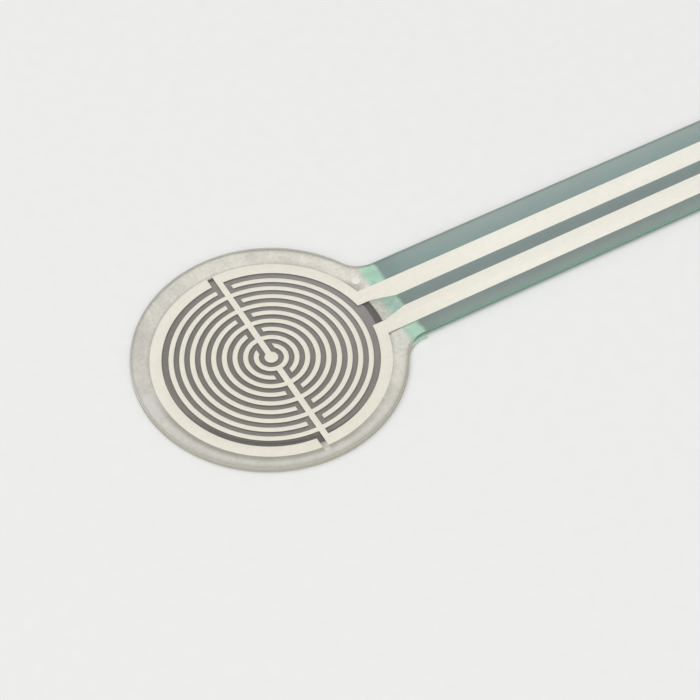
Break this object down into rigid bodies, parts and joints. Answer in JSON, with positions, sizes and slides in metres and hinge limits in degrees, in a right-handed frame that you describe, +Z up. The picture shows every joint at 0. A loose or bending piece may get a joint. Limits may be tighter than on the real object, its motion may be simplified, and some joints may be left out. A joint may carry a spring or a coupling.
{
  "type": "force sensing resistor",
  "caption": "Round thin-film pressure sensor with a long flat tail and two solder pins: its resistance drops when the disc is pressed.",
  "frame": {"origin": "middle of the round disc on its flat rear face, which lies on the surface", "axes": "+X along the tail towards the solder pins, +Z up out of the face that is pressed"},
  "size_m": [0.0617, 0.0184, 0.0007],
  "materials": {
    "clear_film": "clear polyester film",
    "carbon_ink": "matt printed carbon ink",
    "adhesive": "milky double-sided adhesive",
    "silver_print": "matt silver ink",
    "cover_coat": "thin grey-green cover coat",
    "tinned_metal": "tin-plated, satin"
  },
  "bodies": {
    "root": {"bottom_film": "clear_film", "carbon_layer": "carbon_ink", "spacer_ring": "adhesive", "upper_electrode": "silver_print", "lower_electrode": "silver_print", "guard_arc": "silver_print", "print_mark": "silver_print", "tail_cover": "cover_coat", "top_film": "clear_film", "upper_terminal": "tinned_metal", "lower_terminal": "tinned_metal"}
  },
  "joints": []
}
